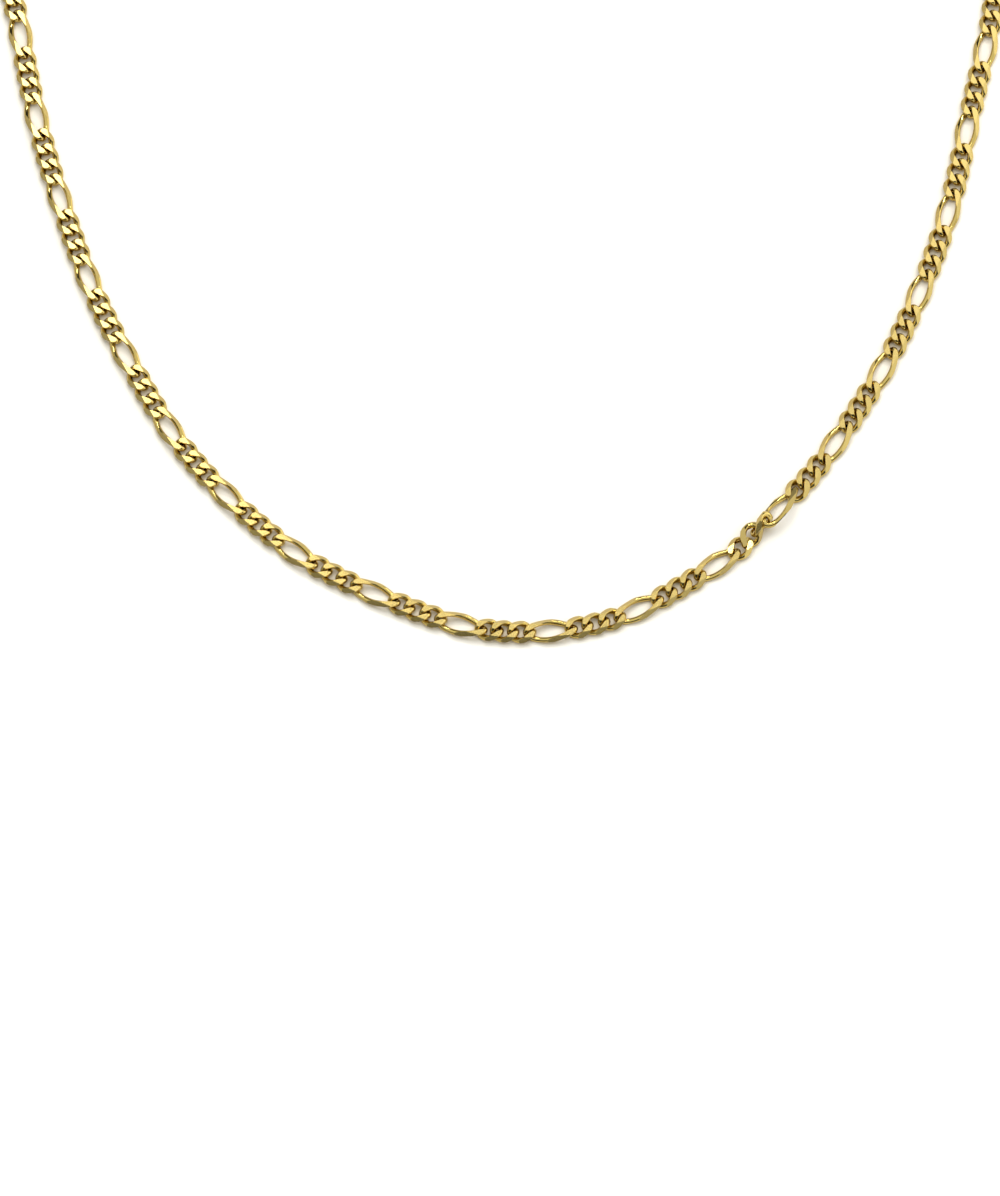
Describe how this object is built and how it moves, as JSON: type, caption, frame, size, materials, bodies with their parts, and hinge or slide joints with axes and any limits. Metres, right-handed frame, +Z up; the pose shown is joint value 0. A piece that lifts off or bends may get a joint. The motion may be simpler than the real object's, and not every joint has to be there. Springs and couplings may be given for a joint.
{
  "type": "figaro chain necklace",
  "caption": "Closed neck chain of flat cut curb links in a figaro pattern, short links between long ones, lying flat as a loop with a plain clasp.",
  "frame": {"origin": "on the surface that the chain lies on, under the middle of the loop's footprint", "axes": "+Z up, +Y from the front of the loop to the clasp, +X to the right as the picture shows it"},
  "size_m": [0.1362, 0.1629, 0.0031],
  "materials": {
    "chain_left_gold": "polished yellow gold wire with satin cut faces",
    "chain_right_gold": "polished yellow gold wire with satin cut faces",
    "jump_ring_left_gold": "polished yellow gold",
    "jump_ring_right_gold": "polished yellow gold",
    "clasp_gold": "polished yellow gold"
  },
  "bodies": {
    "root": {"chain_left": "chain_left_gold", "chain_right": "chain_right_gold", "jump_ring_left": "jump_ring_left_gold", "jump_ring_right": "jump_ring_right_gold", "clasp": "clasp_gold"}
  },
  "joints": []
}
